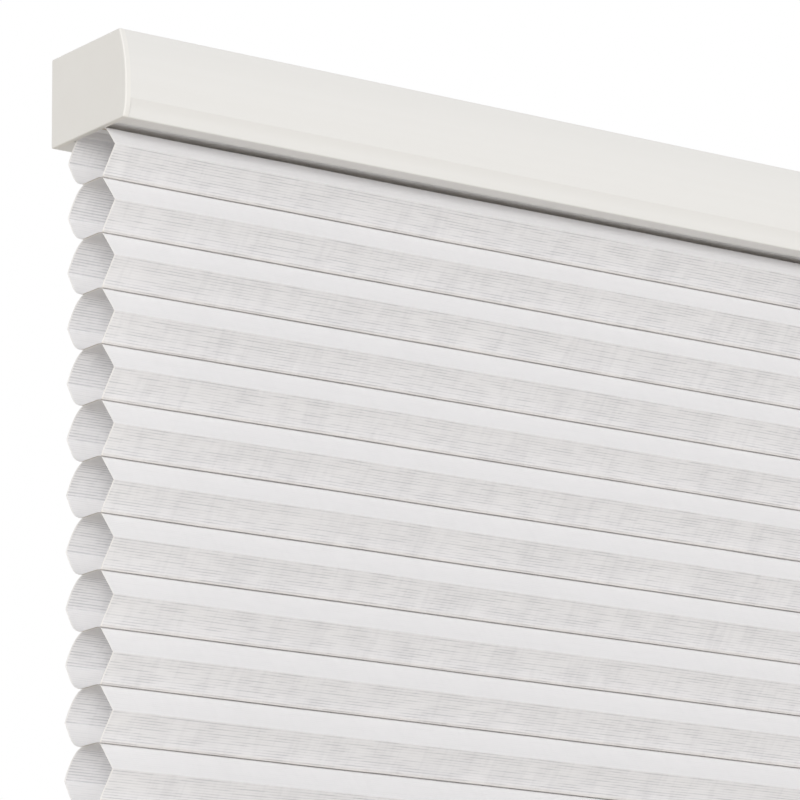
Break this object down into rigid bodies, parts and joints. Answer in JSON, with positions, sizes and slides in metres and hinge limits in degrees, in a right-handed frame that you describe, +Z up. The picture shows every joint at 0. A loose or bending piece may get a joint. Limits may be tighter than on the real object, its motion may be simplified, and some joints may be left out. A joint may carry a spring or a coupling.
{
  "type": "pleated blind",
  "caption": "Cordless pleated blind of the cellular kind: white honeycomb fabric between a curved headrail and a bottom rail that slides up on hidden lift cords.",
  "frame": {"origin": "centre of the four fixing screws, on the plane the mounting brackets are screwed against", "axes": "+X along the blind to the right as seen from the room, -Y towards the room, +Z up"},
  "size_m": [0.61, 0.0461, 0.9001],
  "materials": {
    "rail_white": "satin",
    "cap_white": "satin",
    "fabric_white": "matte",
    "strip_plastic": "satin",
    "cord_white": "matte",
    "spring_steel": "satin",
    "shaft_steel": "satin",
    "nylon_white": "satin",
    "nylon_grey": "satin"
  },
  "bodies": {
    "headrail": {"headrail": "rail_white", "left_end_cap": "cap_white", "right_end_cap": "cap_white", "left_mounting_bracket": "spring_steel", "right_mounting_bracket": "spring_steel", "top_fabric_strip": "strip_plastic", "cell_fabric": "fabric_white", "left_lift_cord": "cord_white", "right_lift_cord": "cord_white", "left_spool_cradle": "nylon_grey", "right_spool_cradle": "nylon_grey", "spring_motor_case": "nylon_grey", "spring_motor_cover": "nylon_grey", "power_spring": "spring_steel"},
    "lift_shaft": {"lift_shaft": "shaft_steel", "left_cord_spool": "nylon_white", "right_cord_spool": "nylon_white", "left_shaft_collar": "nylon_white", "right_shaft_collar": "nylon_white", "output_drum": "nylon_grey"},
    "storage_drum": {"storage_drum": "nylon_grey"},
    "bottom_rail": {"bottom_rail": "rail_white", "left_bottom_cap": "cap_white", "right_bottom_cap": "cap_white", "bottom_fabric_strip": "strip_plastic", "left_cord_anchor": "nylon_white", "right_cord_anchor": "nylon_white"}
  },
  "joints": [
    {"name": "bottom_rail_lift", "type": "slide", "parent": "headrail", "child": "bottom_rail", "axis": [0, 0, 1], "range_m": [0, 0.78], "deforming": ["cell_fabric", "left_lift_cord", "right_lift_cord", "power_spring"]},
    {"name": "shaft_turn", "type": "hinge", "parent": "headrail", "child": "lift_shaft", "pos_m": [0, 0.00765, -0.0165], "axis": [-1, 0, 0], "range_deg": [0, 5850]},
    {"name": "storage_drum_turn", "type": "hinge", "parent": "headrail", "child": "storage_drum", "pos_m": [0, -0.00985, -0.0165], "axis": [1, 0, 0], "range_deg": [0, 6200]}
  ],
  "couplings": [
    {"joint": "shaft_turn", "follows": "bottom_rail_lift", "rad_per_m": 130.72},
    {"joint": "storage_drum_turn", "follows": "bottom_rail_lift", "rad_per_m": 138.6}
  ]
}
